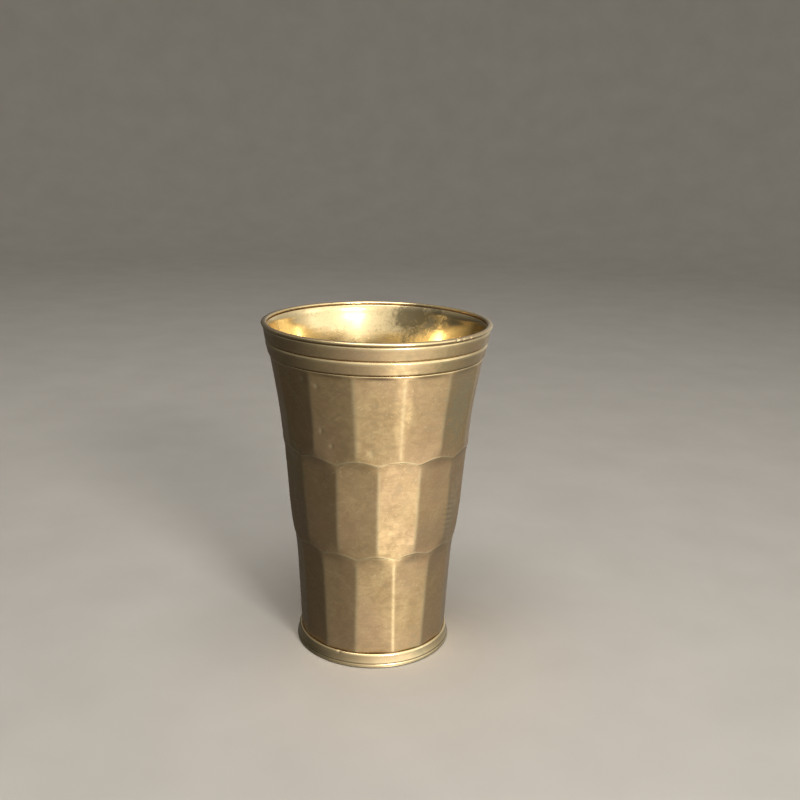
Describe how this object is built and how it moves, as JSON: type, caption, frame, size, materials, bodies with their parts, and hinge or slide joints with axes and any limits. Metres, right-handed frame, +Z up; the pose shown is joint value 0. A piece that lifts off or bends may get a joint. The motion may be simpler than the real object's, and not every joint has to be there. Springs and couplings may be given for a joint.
{
  "type": "pen holder cup",
  "caption": "Tapered desk cup in brass with tiers of flat facets, a turned collar and rim bead, and a foot ring; stands upright and holds pens.",
  "frame": {"origin": "centre of the foot ring's underside, on the surface that the cup stands on", "axes": "+Z up along the cup's axis, towards the mouth; -Y is the front, the side that faces the viewer"},
  "size_m": [0.0818, 0.0818, 0.1215],
  "materials": {
    "aged_brass": "hand-rubbed satin with a light brown patina",
    "turned_brass": "satin, fine turning lines",
    "bead_brass": "worn bright on top",
    "yellow_brass": "bright, fine turning lines",
    "plate_brass": "satin, facing marks",
    "brazing_alloy": "as run, slightly rippled"
  },
  "bodies": {
    "root": {"faceted_wall": "aged_brass", "rim_collar": "turned_brass", "rim_bead": "bead_brass", "foot_ring": "yellow_brass", "base_plate": "plate_brass", "floor_fillet": "brazing_alloy"}
  },
  "joints": []
}
